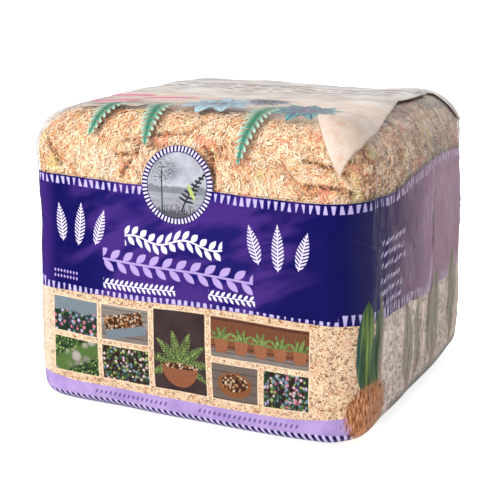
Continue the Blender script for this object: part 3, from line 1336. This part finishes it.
def build_over_top(name, cells, material, slot, node, under, gap, edges, waves=0.0):
    """A layer of film on the top, gap metres off what is under it. edges() is across and along in mm."""

    def place(share_x, share_y):
        across, along = (MM * np.asarray(value) for value in edges(share_x, share_y))
        flat = together(across, along, 0.0)
        ruck = ripple(flat, (14.0, 60.0, 1.0), 8.0) + 0.5 * ripple(flat, (40.0, 110.0, 1.0), 2.0)
        low = gap + waves * np.clip(0.5 + 0.5 * ruck, 0, 1)
        return lay_on(over_top(across, along, gap), under, low, low + 0.3 * MM), together(across, along)

    return piece(name, bend_grid(name, *cells, place), [material], slot, [node], FILM)


# The front panel's side edges and the back panel's front edge: (along, half width) and (across, start)
FRONT_PANEL_EDGE = [
    *((121, 76.3), (125.7, 77.5), (136, 81.5), (147, 84.9), (165, 83.5)),
    *((189, 79), (205, 76.7), (227, 72.5), (252, 74.4), (277, 74.5)),
]
BACK_PANEL_EDGE = [(0, 262), (70, 262), (75, 277), (81, 278.5), (92, 283)]

# How high the panels' rucks stand
BACK_RUCK = 0.4 * MM
FRONT_RUCK = 1.0 * MM


def build_top(wrap):
    """The folded ends of the sides' film, then the back panel's film, then the front panel's over all."""
    wall = wrap.data
    clear = top_paint("clear_film", True)
    step = FILM + 0.15 * MM
    for name, side in (("left", -1), ("right", 1)):

        def fold(share_x, share_y, side=side):
            return side * (34 + 34 * share_x), 158 + 112 * share_y

        node = "gusset_fold_" + name
        build_over_top("film_gusset_" + name, (24, 60), clear, "clear_film", node, wall, step, fold)

    def back(share_x, share_y):
        across = -92 + 184 * share_x
        start = np.interp(np.abs(across), *np.transpose(BACK_PANEL_EDGE))
        return across, start + (302 - start) * share_y

    def front(share_x, share_y):
        along = 121 + 147 * share_y
        return (share_x * 2 - 1) * np.interp(along, *np.transpose(FRONT_PANEL_EDGE)), along

    def seal(share_x, share_y):
        return -72 + 144 * share_x, 254.5 + 10 * share_y

    panel = (120, 32), clear, "top_film", "top_back_panel", wall, step * 2, back, BACK_RUCK
    build_over_top("film_top_back", *panel)
    over = top_paint("top_film", False)
    panel = (140, 120), over, "top_film", "top_front_panel", wall, step * 3, front, FRONT_RUCK
    above = build_over_top("film_top_front", *panel)
    ribbed = seal_paint("sealed_film", 0.5)
    build_over_top("top_seal_strip", (150, 10), ribbed, "sealed_film", "top_seal", above.data, step, seal)


def build_seams():
    """The lap seam down the back wall, and the weld that lies flat in the valley under the base."""

    def down_the_back(share_x, share_y):
        round_by = HALF_GIRTH - (0.3 + 17.2 * share_x) * MM
        climb = (5.5 + 112.5 * share_y) * MM
        lift = film_lift(round_by, climb) + FILM + 0.30 * MM
        return on_block(round_by, climb, lift), together(climb, round_by)

    def under_the_base(share_x, share_y):
        x, y = (-75 + 150 * share_x) * MM, (-6 + 12 * share_y) * MM
        height = 0.45 * MM + 0.25 * MM * np.abs(np.sin(x * 70)) * (0.4 + share_y * 0.6)
        return together(x, y, height), together(x, y)

    lap = seal_paint("sealed_film_back", 0.12)
    mesh = bend_grid("back_seam_strip", 14, 90, down_the_back)
    piece("back_seam_strip", mesh, [lap], "sealed_film", ["back_seam"], FILM)
    weld_film = seal_paint("sealed_film_base", 0.6)
    mesh = bend_grid("bottom_seal_strip", 90, 8, under_the_base)
    piece("bottom_seal_strip", mesh, [weld_film], "sealed_film", ["bottom_seal"], FILM)


# Studio

FLOOR_TONE = (0.93, 0.93, 0.93)
PURE_WHITE = (1.0, 1.0, 1.0)
CAMERA_PLACE = Vector((0.25132, -0.52036, 0.21287))
CAMERA_LOOK = Vector((-0.42889, 0.86988, -0.24364))
FOCAL_PIXELS = 1138.36
PICTURE_PIXELS = 500
SENSOR = 36.0


def aim(made, place, direction):
    """Puts a camera or a light in place and points it along the direction."""
    made.location = place
    made.rotation_mode = "QUATERNION"
    made.rotation_quaternion = direction.to_track_quat("-Z", "Y")


def build_camera():
    camera = add("camera", bpy.data.cameras.new("camera"))
    camera.data.sensor_width = SENSOR
    camera.data.lens = FOCAL_PIXELS / PICTURE_PIXELS * SENSOR
    camera.data.clip_start = 0.01
    aim(camera, CAMERA_PLACE, CAMERA_LOOK)
    bpy.context.scene.camera = camera


def build_floor():
    made = add("floor", grid_mesh("floor", 1, 1, 4.0))
    paint = Paint("floor")
    inputs = {"Base Color": FLOOR_TONE, "Roughness": 0.9}
    inputs = {**inputs, "Emission Color": PURE_WHITE, "Emission Strength": 0.7}
    made.data.materials.append(paint.surface(paint.node("BsdfPrincipled", None, inputs)))
    made.visible_glossy = False


def add_light(name, place, target, size, power):
    """A square light that doesn't show in reflections."""
    lamp = bpy.data.lights.new(name, "AREA")
    lamp.shape = "RECTANGLE"
    lamp.size = lamp.size_y = size
    lamp.energy = power
    made = add(name, lamp)
    aim(made, place, Vector(target) - Vector(place))
    made.visible_glossy = False


def build_studio():
    """Soft light from the upper left and front, a bright backdrop to the right and behind."""
    world = bpy.data.worlds.new("studio")
    bpy.context.scene.world = world
    sky = Paint("studio", world)
    x, y, z = sky.split(sky.node("TexCoord"))
    back = (y * 0.75 + x * 0.55).step(-0.45, 0.75)
    mirrored = back * (1 - z.step(0.30, 0.75) * 0.9) * (1 - z.step(0.05, -0.30) * 0.45) * 0.68 + 0.03
    seen = sky.node("LightPath")
    glossy = sky.node("LightPath", output=3)
    strength = seen * 1.05 + (1 - seen) * (glossy * mirrored + (1 - glossy) * 0.68)
    shine = sky.node("Background", None, {"Color": PURE_WHITE, "Strength": strength})
    sky.node("OutputWorld", None, {"Surface": shine})
    add_light("key", (-0.55, -0.95, 0.75), (0, 0, 0.07), 0.8, 27.0)
    add_light("top", (-0.1, 0.0, 1.3), (0, 0, 0), 1.0, 12.0)
    bpy.context.scene.view_settings.view_transform = "Standard"
    bpy.context.scene.cycles.transparent_max_bounces = 24


build_camera()
build_moss_block(moss_paint())
strands = strand_paint()
build_strands("moss_strands_front", 6000, (-0.082, 0.082, 0.106, 0.172), 3, strands, 0.97)
build_strands("moss_strands_right", 5600, (0.080, 0.245, 0.106, 0.180), 5, strands, 0.84, 1.5)
build_strands("moss_strands_left", 3200, (-0.245, -0.080, 0.106, 0.180), 7, strands, 0.9)
build_strands("moss_strands_back", 3000, (0.235, 0.400, 0.106, 0.172), 9, strands, 0.9)
wrap = build_wrap([front_high_paint(), front_low_paint(), side_paint()])
build_top(wrap)
build_seams()
build_floor()
build_studio()
